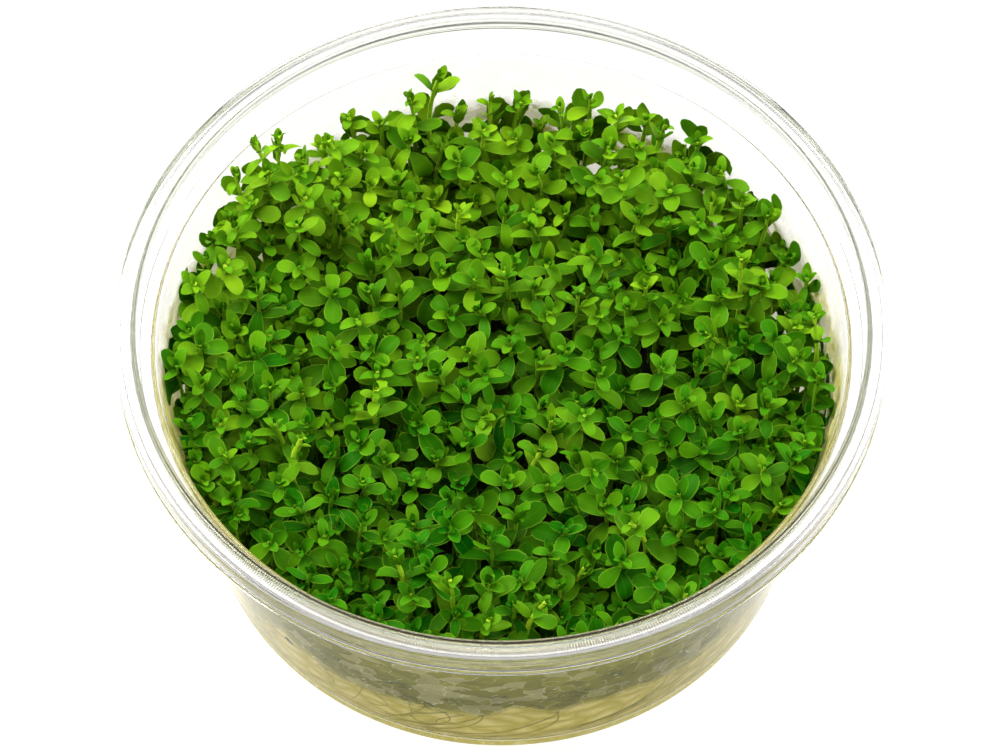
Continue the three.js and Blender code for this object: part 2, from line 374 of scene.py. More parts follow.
def fog_pattern(add, places):
    """The thickness of the fog, its pale patches, its painted highlights, and the leaves' reach.
    """
    moved = wobble(add, places["on_wall"], WOBBLE_SIZE, PATCH_WOBBLE)
    upright = add("VectorMath", (moved, (1, PATCH_HEIGHT_SHARE, 1)), "MULTIPLY")
    patches = {"Vector": upright, "Scale": 1 / PATCH_WIDTH}
    cells = add("TexVoronoi", patches, voronoi_dimensions="2D")
    edges = add("TexVoronoi", patches, voronoi_dimensions="2D", feature="DISTANCE_TO_EDGE")
    lot = add("SeparateColor", (cells.outputs["Color"],)).outputs
    clouds = add("TexNoise", {
        "Vector": moved, "Scale": 1 / CLOUD_SIZE, "Detail": 4.0, "Roughness": 0.6})
    touched = leaf_reach(add, places, clouds)

    clouded = add("MapRange", (clouds, 0.35, 0.65, 0.8, 1.15))
    patched = add("MapRange", (lot["Green"], 0.0, 1.0, 0.58, 0.82))
    # Painted shade: the fog is thinner below 26 mm, so a darker band shows low on the wall
    higher = add("MapRange", (places["height"], 19 * MM, 26 * MM, 0.8, 1.15))
    uneven = add("Math", (patched, higher), "MULTIPLY")
    cloudy = add("Math", (clouded, uneven), "MULTIPLY")
    clearer = add("Math", (touched, 1 - FOG_ABOVE_LEAVES, FOG_ABOVE_LEAVES), "MULTIPLY_ADD")
    fog = add("Math", (cloudy, clearer), "MULTIPLY")

    paler = add("MapRange", (lot["Red"], PALE_FROM, PALE_FULL))
    pale = add("Math", (paler, touched), "MULTIPLY")

    # Painted highlights: a thin pale line along some leaf outlines, and short glints
    outline = add("MapRange", (edges, LINE_INNER, LINE_OUTER, 1.0, 0.0))
    chosen = add("Math", (lot["Green"], LINED_FROM), "GREATER_THAN")
    line = add("Math", (outline, chosen), "MULTIPLY")
    water = add("Math", (line, glints(add, moved)), "MAXIMUM")
    bright = add("Math", (water, touched), "MULTIPLY")
    return fog, pale, bright, touched


# %% [markdown]
# ## Ribs on the rim
# The top of the rim has two bands of fine ribs, which help a lid to grip. They are 0.35 mm
# apart, too fine to model for a whole rim, so they are a wave in the material: it tilts the
# surface, and each crest gets a little white mist as a painted highlight. That breaks the
# reflections on the rim into fine threads of light.

# %% Rib pattern
RIB_COUNT = 850
RIB_FOOT = 43.9 * MM
# Bands of ribs: inner and outer radius, painted highlight on the crests, and height in
# millimetres
RIB_BANDS = ((47.1 * MM, 47.62 * MM, 0.06, 0.045), (47.62 * MM, 49.5 * MM, 0.1, 0.018))


def between(add, value, low, high):
    """A node that gives 1 where a value lies between two limits, and 0 elsewhere."""
    above = add("Math", (value, low), "GREATER_THAN")
    below = add("Math", (value, high), "LESS_THAN")
    return add("Math", (above, below), "MULTIPLY")


def rib_pattern(add, places, frost):
    """Adds the ribs' crests, as painted highlights, to the wear, and gives the height of the ribs
    as well.
    """
    angle = add("Math", (places["turn"], RIB_COUNT), "MULTIPLY")
    wave = add("Math", (angle,), "SINE")
    on_rim = add("Math", (places["height"], RIB_FOOT), "GREATER_THAN")
    high = add("Math", (wave, 0.0), "GREATER_THAN")
    crest = add("Math", (on_rim, high), "MULTIPLY")
    tallest = 0.0
    for inner, outer, band_frost, band_height in RIB_BANDS:
        band = between(add, places["radius"], inner, outer)
        # Painted highlights: white mist on the crests of the ribs
        rough = add("Math", (band, band_frost), "MULTIPLY")
        frosted = add("Math", (crest, rough), "MULTIPLY")
        frost = add("Math", (frost, frosted), "MAXIMUM")
        tallest = add("Math", (band, band_height, tallest), "MULTIPLY_ADD")
    ribbed = add("Math", (on_rim, tallest), "MULTIPLY")
    return frost, add("Math", (wave, ribbed), "MULTIPLY")


# %% [markdown]
# ## Clear plastic
# The cup is injection-moulded polypropylene made clear with a nucleating agent. It bends light
# like most plastics (IOR 1.49) and its mould was polished, so it is as glossy as glass. Two
# things change that on the inside. Under the ledge the inner face is wet and hardly mirrors,
# so there it only bends light, except at the slant where a clear face mirrors everything.
# Where the gel touches it, light crosses from plastic to jelly and is bent by the ratio of the
# two IORs, at any slant. The fog lies on the inner face as a thin scattering layer. The
# foot is scratched dull from standing. Lamps shine through the plastic, so its shadow is let
# through.

# %% Clear plastic material
PLASTIC_IOR = 1.49
GEL_IOR = 1.34
LEDGE_HEIGHT = 39.5 * MM
WALL_MIDDLE_FOOT = 39.82 * MM
CUP_FLOOR = 2.1 * MM
FOG_FOOT = 12.3 * MM
FOG_FADE = 0.6 * MM
WORN_TOP, WORN_FADE, WORN_FROST = 5.4 * MM, 2 * MM, 0.3
DENT_SIZE, DENT_DEPTH = 0.5 * MM, 0.05 * MM
# A slant at which more than this share of the light is mirrored counts as mirroring it all
TOTAL_REFLECTION = 0.6


def clear_plastic():
    material, add = new_material("clear_polypropylene")
    places = cup_places(add)
    height = places["height"]

    # Where the inner face is wet, fogged, or in touch with the gel
    wall_middle = add("Math", (height, WALL_LEAN, WALL_MIDDLE_FOOT), "MULTIPLY_ADD")
    inside = add("Math", (places["radius"], wall_middle), "LESS_THAN")
    low = add("MapRange", (height, LEDGE_HEIGHT - FOG_FADE, LEDGE_HEIGHT, 1.0, 0.0))
    over_gel = add("Math", (height, creep_nodes(add, places["turn"])), "SUBTRACT")
    dry = add("MapRange", (over_gel, FOG_FOOT - FOG_FADE, FOG_FOOT))
    steamed = add("Math", (low, dry), "MULTIPLY")
    fogged = add("Math", (steamed, inside), "MULTIPLY")
    over_floor = add("Math", (height, CUP_FLOOR), "GREATER_THAN")
    under_fog = add("Math", (dry, 0.5), "LESS_THAN")
    at_gel = add("Math", (over_floor, under_fog), "MULTIPLY")

    # How rough and how uneven the plastic is
    fog, pale, bright, touched = fog_pattern(add, places)
    paler = add("Math", (pale, 0.2, fog), "MULTIPLY_ADD")
    # The painted highlights thicken the mist where they lie
    lines = add("Math", (bright, 0.9), "MULTIPLY")
    lined = add("Math", (paler, lines), "MAXIMUM")
    inner_fog = add("Math", (fogged, lined), "MULTIPLY")
    worn = add("MapRange", (height, WORN_TOP - WORN_FADE, WORN_TOP, WORN_FROST, 0.0))
    frost, rib_height = rib_pattern(add, places, worn)
    haze = add("Math", (inner_fog, frost), "MAXIMUM")
    roughness = add("MapRange", (haze, 0.0, 0.7, 0.01, 0.1))
    droplets = add("TexNoise", {"Vector": places["place"], "Scale": 1 / DENT_SIZE, "Detail": 2.0})
    dents = add("Bump", {"Strength": 0.04, "Distance": DENT_DEPTH, "Height": droplets})
    ribs = add("Bump", {"Strength": 1.0, "Distance": MM, "Height": rib_height, "Normal": dents})

    # Clear plastic: dry and glossy, or wet and bending light without a reflection
    mirroring = add("Fresnel", {"IOR": PLASTIC_IOR})
    steep = add("Math", (mirroring, TOTAL_REFLECTION), "LESS_THAN")
    lets_in = add("Math", (steep, at_gel), "MAXIMUM")
    low_inside = add("Math", (low, inside), "MULTIPLY")
    wet = add("Math", (low_inside, lets_in), "MULTIPLY")
    bending = add("MapRange", (at_gel, 0.0, 1.0, PLASTIC_IOR, PLASTIC_IOR / GEL_IOR))
    dry_plastic = add("BsdfPrincipled", {
        "Base Color": "#fbfaf8", "Roughness": roughness, "IOR": PLASTIC_IOR,
        "Transmission Weight": 1.0, "Normal": ribs})
    wet_plastic = add("BsdfRefraction", {
        "Color": "#fbfaf8", "Roughness": roughness, "IOR": bending, "Normal": dents})
    plastic = add("MixShader", (wet, dry_plastic, wet_plastic))

    # Fog: white above, and below the colour of the leaf that lies against it, with painted
    # highlights in pale yellow
    palest = add("Math", (pale, worn), "MAXIMUM")
    wet_leaf = add("Mix", {"Factor": palest, "A": "#b6b24a", "B": "#ccc68a"}, data_type="RGBA")
    outlined = add("Mix", {"Factor": bright, "A": wet_leaf, "B": "#f2eec4"}, data_type="RGBA")
    facing = add("Mix", {"Factor": touched, "A": "#fdf8f0", "B": outlined}, data_type="RGBA")
    behind = add("Mix", {"Factor": touched, "A": "#fbfaf4", "B": "#b4b254"}, data_type="RGBA")
    shining_through = add("BsdfTranslucent", {"Color": behind})
    scattering = add("BsdfDiffuse", {"Color": facing})
    mist = add("MixShader", (0.8, shining_through, scattering))
    wall = add("MixShader", (haze, plastic, mist))

    let_through = add("BsdfTransparent", {"Color": "#f6f5f3"})
    shadow = add("LightPath").outputs["Is Shadow Ray"]
    return finish_material(material, add("MixShader", (shadow, wall, let_through)))


plastic_material = clear_plastic()

# %% [markdown]
# ## The cup
# The real cup comes out of a mould as one thin wall. Its section tells all: a raised floor, a
# foot ring, a wall that widens upwards, a ledge for stacking, and a rim like an upside-down U.
# So the section is drawn point by point, by extruding a single vertex, and then spun round the
# upright axis. A mould has no sharp corners, so every corner of the section is rounded first:
# these small rounds bend the light far aside and show as thin dark lines. Smooth shading blends
# the direction of a face into its neighbours, and clear plastic shows each such blend as a
# false bend. So every long stretch of the section gets a holding point near each end, which
# keeps the blend close to the corner.

# %% Draw and spin a section
SPIN_STEPS = 192
# In millimetres: how near a holding point stands to its corner, and what counts as one point
HOLD = 0.3
SAME_POINT = 0.002
NEARLY_STRAIGHT = -0.94


def round_corners(section_mm, radius_mm):
    """Replaces each sharp corner of a section by three points on an arc."""
    points = [np.array(point, dtype=float) for point in section_mm]
    rounded = [points[0]]
    for before, corner, after in zip(points, points[1:], points[2:]):
        back, ahead = before - corner, after - corner
        reach = min(radius_mm, 0.4 * np.linalg.norm(back), 0.4 * np.linalg.norm(ahead))
        start, end = corner + unit(back) * reach, corner + unit(ahead) * reach
        if unit(back).dot(unit(ahead)) > NEARLY_STRAIGHT:
            rounded += [start, (start + end) / 4 + corner / 2, end]
        else:
            rounded.append(corner)
    return rounded + [points[-1]]


def hold_corners(section_mm):
    """Adds a point near both ends of each long stretch of a section."""
    held = [section_mm[0]]
    for start, end in zip(section_mm, section_mm[1:]):
        start, end = np.array(start), np.array(end)
        length = np.linalg.norm(end - start)
        if length > 3 * HOLD:
            step = (end - start) * HOLD / length
            held += [tuple(start + step), tuple(end - step)]
        held.append(tuple(end))
    return held


def spin_section(name, section_mm, rounding_mm):
    """Draws a section of radius and height, and spins it into one closed solid."""
    section_mm = hold_corners(round_corners(section_mm, rounding_mm))
    start_piece()
    bpy.ops.mesh.primitive_plane_add(size=MM)
    piece = bpy.context.object
    piece.name = name
    bpy.ops.object.mode_set(mode="EDIT")
    bpy.ops.mesh.select_all(action="SELECT")
    bpy.ops.mesh.merge(type="CENTER")
    place = np.array(section_mm[0])
    bpy.ops.transform.translate(value=(place[0] * MM, 0, place[1] * MM))
    for point in section_mm[1:]:
        step = (np.array(point) - place) * MM
        bpy.ops.mesh.extrude_region_move(
            TRANSFORM_OT_translate={"value": (step[0], 0, step[1])})
        place = np.array(point)
    bpy.ops.mesh.select_all(action="SELECT")
    bpy.ops.mesh.spin(steps=SPIN_STEPS, angle=math.tau, center=(0, 0, 0), axis=(0, 0, 1))
    bpy.ops.mesh.select_all(action="SELECT")
    bpy.ops.mesh.remove_doubles(threshold=SAME_POINT * MM)
    bpy.ops.mesh.normals_make_consistent(inside=False)
    bpy.ops.object.mode_set(mode="OBJECT")
    bpy.ops.object.shade_smooth_by_angle(angle=math.radians(40))
    report(piece)
    return piece


CUP_SECTION = [
    (0, 1.2), (34.4, 1.2), (35.5, 0), (38.3, 0), (39.2, 0.2), (39.9, 0.6), (40.35, 1.2),
    (40.5, 2.0), (45.42, 38.3), (45.5, 38.7), (45.8, 38.85), (46.9, 38.9), (47.25, 39.1),
    (47.35, 39.4), (47.6, 43.1), (47.75, 43.5), (48.1, 43.65), (48.9, 43.65), (49.2, 43.5),
    (49.3, 43.1), (49.3, 40.3), (50, 40.3), (50, 40.9), (49.75, 41.15), (49.75, 42.65),
    (50, 42.9), (50, 44.25), (49.85, 44.5), (49.3, 44.5), (48.5, 44.27), (47.66, 44.25),
    (47.54, 44.44), (47.37, 44.5), (47.2, 44.44), (47.12, 44.2), (46.95, 40.1),
    (46.85, 39.75), (46.6, 39.6), (45.4, 39.5), (45.28, 39.6), (45.08, 39.58),
    (44.97, 39.4), (44.93, 39.15), (39.72, 3.5),
    (39.1, 2.6), (38.3, 2.2), (0, 2.2),
]
cup = spin_section("clear_cup", CUP_SECTION, 0.16)
cup.data.materials.append(plastic_material)
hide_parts("cup")
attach(cup, "root")

# %% [markdown]
# ## The nutrient gel
# The gel is a plant jelly set with agar. Poured warm, it fills the bottom of the cup and creeps
# up a little at the wall. It is cloudy, so most light is scattered near its surface and only a
# little goes deep: that gives the eye a pale, soft yellow with hardly any shine. It set in
# rounded lobes of about 5 mm, and the seams between them are painted darker and more olive, as
# painted shade. Near the bottom it is painted paler and pinker, as painted light from the
# glowing sheet below. So its material is mostly diffuse with a trace of transmission, and a
# Voronoi pattern draws the lobes, both as painted shade in the colour and as a shallow relief.
# Its mesh is spun like the cup, and the points of its upper edge are then lifted in the waves.

# %% Gel material
LOBE_SIZE, LOBE_WOBBLE, LOBE_HEIGHT_SHARE = 5 * MM, 1.5 * MM, 1.7
LOBE_RELIEF = 0.6 * MM


def agar_gel():
    material, add = new_material("agar_gel")
    places = cup_places(add)
    moved = wobble(add, places["on_wall"], 3 * MM, LOBE_WOBBLE)
    upright = add("VectorMath", (moved, (1, LOBE_HEIGHT_SHARE, 1)), "MULTIPLY")
    lobes = add("TexVoronoi", {
        "Vector": upright, "Scale": 1 / LOBE_SIZE}, voronoi_dimensions="2D",
        feature="DISTANCE_TO_EDGE")
    swell = add("MapRange", (lobes, 0.0, 0.4))
    # Painted shade: the seams between the lobes are darker and more olive
    body = add("Mix", {"Factor": swell, "A": "#c8bc4c", "B": "#f0e490"}, data_type="RGBA")
    # Painted light: paler and pinker near the bottom, as light from the glowing sheet below
    low = add("MapRange", (places["height"], 2.5 * MM, 6 * MM, 0.6, 0.0))
    base = add("Mix", {"Factor": low, "A": body, "B": "#d8c68c"}, data_type="RGBA")
    folds = add("Bump", {"Strength": 0.3, "Distance": LOBE_RELIEF, "Height": swell})
    gel = add("BsdfPrincipled", {
        "Base Color": base, "Roughness": 0.3, "IOR": GEL_IOR, "Transmission Weight": 0.05,
        "Specular IOR Level": 0.2, "Normal": folds})
    let_through = add("BsdfTransparent", {"Color": "#d8cc98"})
    shadow = add("LightPath").outputs["Is Shadow Ray"]
    return finish_material(material, add("MixShader", (shadow, gel, let_through)))


# %% Gel mesh
GEL_TOP = 11.3
GEL_SECTION = [
    (0, 2.35), (38.1, 2.35), (38.85, 2.72), (39.5, 3.55), (40.76, 12.3), (39.7, 11.6),
    (37.5, GEL_TOP), (24, GEL_TOP), (12, GEL_TOP), (0, GEL_TOP),
]
EDGE_HEIGHT, EDGE_RADIUS = 11.9, 40.0

gel = spin_section("agar_gel", GEL_SECTION, 0.12)
gel.data.materials.append(agar_gel())
for vertex in gel.data.vertices:
    x, y, z = np.array(vertex.co) / MM
    reach = math.hypot(x, y)
    if z > EDGE_HEIGHT and reach > EDGE_RADIUS:
        lift = gel_creep(math.atan2(x, -y))
        widen = 1 + WALL_LEAN * lift / reach
        vertex.co = np.array([x * widen, y * widen, z + lift]) * MM
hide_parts("gel")
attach(gel, "root")

# %% [markdown]
# ## The mat under the plants
# On the gel lies a mat of old stems, fallen leaves and surface roots, which knits the plants
# together. It is rough and dull, and its near-black colour is painted shade: it gives the eye
# the shade between the stems. It is spun like the gel, and then its points are shaken a little.

# %% Mat material
TANGLE_SIZE, TANGLE_RELIEF = 1.4 * MM, 0.6 * MM


def mat_surface():
    material, add = new_material("matted_old_stems")
    place = add("TexCoord").outputs["Object"]
    tangle = add("TexNoise", {
        "Vector": place, "Scale": 1 / TANGLE_SIZE, "Detail": 4.0, "Roughness": 0.7})
    # Painted shade: two near-black olives
    shade = add("Mix", {"Factor": tangle, "A": "#121a03", "B": "#363e0e"}, data_type="RGBA")
    bumps = add("Bump", {"Strength": 0.8, "Distance": TANGLE_RELIEF, "Height": tangle})
    return finish_material(material, add("BsdfPrincipled", {
        "Base Color": shade, "Roughness": 0.7, "Specular IOR Level": 0.2, "Normal": bumps}))


# %% Mat mesh
MAT_SECTION = [
    (0, 11.4), (20, 11.4), (39.2, 11.4), (40.2, 12.0), (40.6, 12.9), (39.8, 13.6), (37.5, 13.5),
    (34, 13.2), (30, 13.4), (25, 13.1), (20, 13.4), (15, 13.2), (10, 13.4), (5, 13.2), (0, 13.3),
]

mat = spin_section("matted_stems", MAT_SECTION, 0.1)
start_piece()
mat.select_set(True)
bpy.context.view_layer.objects.active = mat
bpy.ops.object.mode_set(mode="EDIT")
bpy.ops.mesh.select_all(action="SELECT")
bpy.ops.transform.vertex_random(offset=0.25 * MM, seed=3)
bpy.ops.object.mode_set(mode="OBJECT")
mat.data.materials.append(mat_surface())
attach(mat, "root")

# %% [markdown]
# ## One leaf
# A pearlweed leaf is about 5 mm long, widest past its middle, with a round tip and no stalk.
# A flat sheet of faces would have no underside, so the leaf is a very flat body: a ring of
# eight points, pulled along the leaf from base to tip and widened as it goes. Thousands of
# leaves are needed, so each has only a few dozen faces. The lengths here are shares of the
# leaf's own length, and each copy is given its real size later.

# %% Pull a leaf out of a ring
LEAF_THICKNESS = 0.05

OLD_LEAF = [(0.0, 0.14), (0.14, 0.32), (0.35, 0.52), (0.60, 0.62), (0.81, 0.53), (0.95, 0.27)]
NARROW_LEAF = [(0.0, 0.13), (0.14, 0.28), (0.36, 0.42), (0.57, 0.46), (0.79, 0.36), (0.95, 0.16)]
YOUNG_LEAF = [(0.0, 0.24), (0.16, 0.42), (0.38, 0.54), (0.62, 0.53), (0.83, 0.38), (0.96, 0.17)]


def model_leaf(name, sections):
    """Pulls a flat ring through sections, each a place along the leaf and a width."""
    start_piece()
    bpy.ops.mesh.primitive_circle_add(
        vertices=8, radius=0.5, fill_type="NGON", rotation=(math.pi / 2, 0, 0))
    leaf = bpy.context.object
    leaf.name = name
    bpy.ops.object.transform_apply(rotation=True)
    bpy.ops.object.mode_set(mode="EDIT")
    bpy.ops.mesh.select_all(action="SELECT")
    place, width = sections[0]
    bpy.ops.transform.resize(value=(width, 1, LEAF_THICKNESS / 2))
    for next_place, next_width in sections[1:]:
        bpy.ops.mesh.extrude_region_move(
            TRANSFORM_OT_translate={"value": (0, next_place - place, 0)})
        bpy.ops.transform.resize(value=(next_width / width, 1, 1))
        place, width = next_place, next_width
    bpy.ops.mesh.extrude_region_move(TRANSFORM_OT_translate={"value": (0, 1 - place, 0)})
    bpy.ops.mesh.merge(type="CENTER")
    bpy.ops.mesh.select_all(action="SELECT")
    bpy.ops.mesh.normals_make_consistent(inside=False)
    bpy.ops.object.mode_set(mode="OBJECT")
    print(f"{name}: {len(leaf.data.vertices)} points, {len(leaf.data.polygons)} faces")
    return leaf


# %% Keep the leaf as a pattern
def as_pattern(leaf):
    """Reads the points and faces of a modelled leaf, and its places across and along."""
    points = np.array([vertex.co[:] for vertex in leaf.data.vertices])
    faces = [tuple(face.vertices) for face in leaf.data.polygons]
    half_width = {}
    for x, y in zip(points[:, 0], points[:, 1].round(3)):
        half_width[y] = max(half_width.get(y, 1e-6), abs(x))
    across = [x / half_width[y] for x, y in zip(points[:, 0], points[:, 1].round(3))]
    uv = np.column_stack([0.5 + 0.5 * np.array(across), points[:, 1]])
    bpy.data.objects.remove(leaf)
    return {"points": points, "faces": faces, "uv": uv}


leaf_patterns = {
    "old": as_pattern(model_leaf("old_leaf", OLD_LEAF)),
    "narrow": as_pattern(model_leaf("narrow_leaf", NARROW_LEAF)),
    "young": as_pattern(model_leaf("young_leaf", YOUNG_LEAF)),
}

# %% [markdown]
# ## Bending one copy
# No two leaves are the same. Each copy is cupped along its midrib, arched along its length,
# and twisted a little. Then it is turned to where it grows: its length points away from the
# stem, and its upper side faces the tip of the shoot.

# %% Bend and place a leaf
GROOVE_DEPTH, GROOVE_WIDTH = 0.012, 0.08


def bend_leaf(points, length, cup, arch, twist):
    """Gives a pattern its size, a raised edge, an arch along its length, and a twist."""
    across, along, up = points.T
    up = up + cup * across ** 2 - GROOVE_DEPTH * np.exp(-(across / GROOVE_WIDTH) ** 2)
    turn = twist * along
    across, up = (across * np.cos(turn) - up * np.sin(turn),
                  across * np.sin(turn) + up * np.cos(turn))
    angle = arch * along
    reach = np.sin(angle) / arch + up * np.sin(angle)
    drop = (1 - np.cos(angle)) / arch
    return length * np.column_stack([across, reach, up * np.cos(angle) - drop])


def leaf_axes(stem_direction, heading, rise):
    """Three directions for a leaf: across it, along it, and out of its upper side."""
    level = np.array([math.cos(heading), math.sin(heading), 0.0])
    outward = unit(level - stem_direction * level.dot(stem_direction))
    along = math.cos(rise) * outward + math.sin(rise) * stem_direction
    upper = math.cos(rise) * stem_direction - math.sin(rise) * outward
    return np.array([np.cross(along, upper), along, upper])


# %% [markdown]
# ## The room inside the cup
# Leaves stop at the wall. The wall leans outwards, so the room grows with height. The carpet
# isn't level: it is lowest in the middle, where most light falls, and climbs at the wall, most
# of all at the back left. All lengths from here on are in millimetres.

# %% Wall and carpet
WALL_FOOT = (3.5, 39.72)
WALL_TOP = (39.5, 44.9)
WALL_CLEARANCE = 0.12
CARPET_MIDDLE = 32.5
CARPET_EDGE = 42.0
CARPET_CURVE = 2.4
# Direction in degrees from +X towards +Y, and the height of the leaves at the wall there
CARPET_AT_WALL = [
    (-180, 38.5), (-150, 36.0), (-120, 33.0), (-90, 32.0), (-60, 33.0), (-30, 35.5),
    (0, 37.0), (38, 36.5), (57, 38.0), (74, 34.5), (90, 33.5), (102, 35.5), (112, 36.0),
    (128, 37.5), (141, 41.0), (155, 39.5), (180, 38.5),
]


def wall_radius(height):
    """The inner radius of the cup at a height, in millimetres."""
    share = (height - WALL_FOOT[0]) / (WALL_TOP[0] - WALL_FOOT[0])
    return WALL_FOOT[1] + (WALL_TOP[1] - WALL_FOOT[1]) * np.clip(share, 0, 1.1)


def carpet_height(x, y):
    """The height of the top of the leaves over a place in the cup."""
    directions, heights = zip(*CARPET_AT_WALL)
    at_wall = np.interp(math.degrees(math.atan2(y, x)), directions, heights)
    share = min(math.hypot(x, y) / CARPET_EDGE, 1.0)
    return CARPET_MIDDLE + (at_wall - CARPET_MIDDLE) * share ** CARPET_CURVE


def keep_inside(points, clearance=WALL_CLEARANCE):
    """Presses points that reach past the wall against it."""
    limit = wall_radius(points[:, 2]) - clearance
    radius = np.maximum(np.hypot(points[:, 0], points[:, 1]), 1e-6)
    squeeze = np.minimum(1.0, limit / radius)
    return points * np.column_stack([squeeze, squeeze, np.ones(len(points))])


# %% [markdown]
# ## Where the shoots stand
# The shoots that stand out in the photograph are placed one by one. The rest are strewn: a
# random place is kept if no other shoot is closer than a few millimetres, which looks natural
# and leaves no bald spots. Shorter side shoots then fill the spaces near the wall, where a
# carpet is seen from its side. A fixed seed makes every run the same.

# %% Strew the shoots
SHOOT_SPACING = 3.75
FILL_SPACING = 2.6
FILL_FROM = 27.0
# Youth grows towards the back, where the lamps hang: its yellower green there is partly painted
# light. A few shoots anywhere are fresh
BACK_YOUTH = 0.8
FRESH_SHARE = 0.12
FRESH_YOUTH = 0.45
LOW_SHARE = 0.3
SHOOT_REACH = 42.7
TRIES = 20000

luck = np.random.default_rng(12)

# Place of the tip, how far it stands above the carpet, its lean in degrees, and its youth
STANDING_OUT = [
    (-8.3, 40.3, 6.0, 12, 0.7), (-12.5, 38.4, 3.5, 8, 0.6), (-32.9, 28.8, 1.5, 14, 0.8),
    (-29.8, 31.6, 0.5, 10, 0.6), (-16.1, -6.8, 4.2, 10, 0.95), (-25.7, -15.1, 4.4, 16, 0.95),
    (5.5, -37.0, 2.8, 20, 0.85), (-6.5, -33.6, 2.4, 12, 0.7), (16.4, -26.2, 3.6, 20, 0.9),
    (16.0, 24.7, 5.0, 8, 0.9), (-13.5, -30.7, 3.0, 16, 0.8), (31.7, 12.8, 3.0, 18, 0.8),
    (41.0, 4.0, 1.0, 30, 0.7), (-40.2, 8.3, 0.5, 14, 0.7), (-35.5, 24.5, 0.5, 10, 0.8),
    (-23.2, 32.2, 1.0, 12, 0.8), (8.0, 40.0, 0.5, 8, 0.6), (22.1, 34.1, 1.0, 10, 0.5),
    (29.4, 27.5, 1.0, 14, 0.5),
]


def sunny(x, y):
    """How much light a place gets: 1 at the back, where the lamps hang, and 0 in front."""
    return 0.5 + 0.5 * np.clip((y - 0.1 * x) / SHOOT_REACH, -1, 1)


def strew(shoots, spacing, nearest_middle, make_shoot):
    """Adds shoots at random places that keep their distance from all the others."""
    for _ in range(TRIES):
        radius = math.sqrt(luck.uniform(nearest_middle ** 2, SHOOT_REACH ** 2))
        direction = luck.uniform(0, math.tau)
        x, y = radius * math.cos(direction), radius * math.sin(direction)
        if all((x - s["x"]) ** 2 + (y - s["y"]) ** 2 > spacing ** 2 for s in shoots):
            # Painted light in part: shoots at the back, where light falls, are made younger and
            # so yellower
            youth = BACK_YOUTH * max(sunny(x, y) - 0.5, 0) + luck.uniform(0, 0.4)
            youth += FRESH_YOUTH if luck.random() < FRESH_SHARE else 0
            shoots.append(make_shoot(dict(
                x=x, y=y, stretch=luck.uniform(0.9, 1.15), youth=youth)))


def main_shoot(shoot):
    """Gives a shoot of the carpet its height and lean: most are level, some stay low."""
    low = luck.random() < LOW_SHARE
    extra = luck.uniform(-5.0, -2.0) if low else luck.normal(0, 0.9)
    return dict(shoot, extra=extra, lean=abs(luck.normal(0, 17)))


def side_shoot(shoot):
    """Gives a shorter shoot that fills a space its height and lean."""
    return dict(shoot, extra=luck.uniform(-7.5, -3.0), lean=abs(luck.normal(0, 14)))


def strew_shoots():
    """Lists shoots as place, extra height, lean, youth, and how far apart their leaves sit."""
    shoots = [dict(x=x, y=y, extra=extra, lean=1.5 * lean, youth=youth,
                   stretch=1.1 + 1.1 * youth)
              for x, y, extra, lean, youth in STANDING_OUT]
    strew(shoots, SHOOT_SPACING, 0.0, main_shoot)
    strew(shoots, FILL_SPACING, FILL_FROM, side_shoot)
    return shoots


shoots = strew_shoots()
print(len(shoots), "shoots, one for every",
      round(math.pi * SHOOT_REACH ** 2 / len(shoots)), "square millimetres")

# %% [markdown]
# ## One shoot
# A stem rises from the gel and carries its leaves in pairs, one leaf on each side. Each pair
# is turned a quarter of the way round from the last one, so from above a shoot shows a cross
# of leaves. The tip is a bud: tiny upright leaves, set close. Lower down the pairs are older,
# longer, flatter and further apart, and at the foot they are small again and hang. Some shoots
# have slim leaves all the way up.

# %% Stem
STEM_POINTS = 10
STEM_SIDES = 6
STEM_FOOT_RADIUS = 0.42
STEM_TIP_RADIUS = 0.26
GEL_ROOTED = 9.8
# How far out a shoot may root: further where it is seen through the wall
SEEN_THROUGH_WALL = 35.0
AT_WALL = 38.0
ROOTED_REACH, ROOTED_AT_WALL = 36.5, 39.5
STEM_CLEARANCE = 0.9


def stem_path(shoot):
    """Points up the middle of a stem, from inside the gel to the bud, on a Bezier curve."""
    x, y = shoot["x"], shoot["y"]
    top = np.array([x, y, carpet_height(x, y) + shoot["extra"]])
    reach = math.hypot(x, y)
    rooted = ROOTED_AT_WALL if reach > AT_WALL else ROOTED_REACH
    inward = min(1.0, rooted / max(reach, 1.0))
    foot = np.array([x * inward, y * inward, GEL_ROOTED]) + [*luck.normal(0, 1.1, 2), 0]
    rise = top[2] - foot[2]
    heading = luck.uniform(0, math.tau)
    slant = math.tan(math.radians(shoot["lean"]))
    tip_way = unit(np.array([slant * math.cos(heading), slant * math.sin(heading), 1.0]))
    first = foot + [*luck.normal(0, 0.9, 2), rise * 0.36]
    second = top - tip_way * rise * 0.34
    t = np.linspace(0, 1, STEM_POINTS)[:, None]
    path = ((1 - t) ** 3 * foot + 3 * (1 - t) ** 2 * t * first
            + 3 * (1 - t) * t ** 2 * second + t ** 3 * top)
    return keep_inside(path, STEM_CLEARANCE)


# %% Tube along a path
ASKEW = (0.31, 0.95, 0.02)


def tube(path, radii, sides):
    """Points and faces of a tube along a path, closed at both ends."""
    tangents = np.gradient(path, axis=0)
    points = []
    for centre, tangent, radius in zip(path, tangents, radii):
        tangent = unit(tangent)
        side = unit(np.cross(tangent, ASKEW))
        other = np.cross(tangent, side)
        for k in range(sides):
            angle = k * math.tau / sides
            points.append(centre + radius * (math.cos(angle) * side + math.sin(angle) * other))
    faces = []
    for ring in range(len(path) - 1):
        for k in range(sides):
            here, across = ring * sides + k, ring * sides + (k + 1) % sides
            faces.append((here, across, across + sides, here + sides))
    last = (len(path) - 1) * sides
    faces.append(tuple(range(sides))[::-1])
    faces.append(tuple(last + k for k in range(sides)))
    return np.array(points), faces
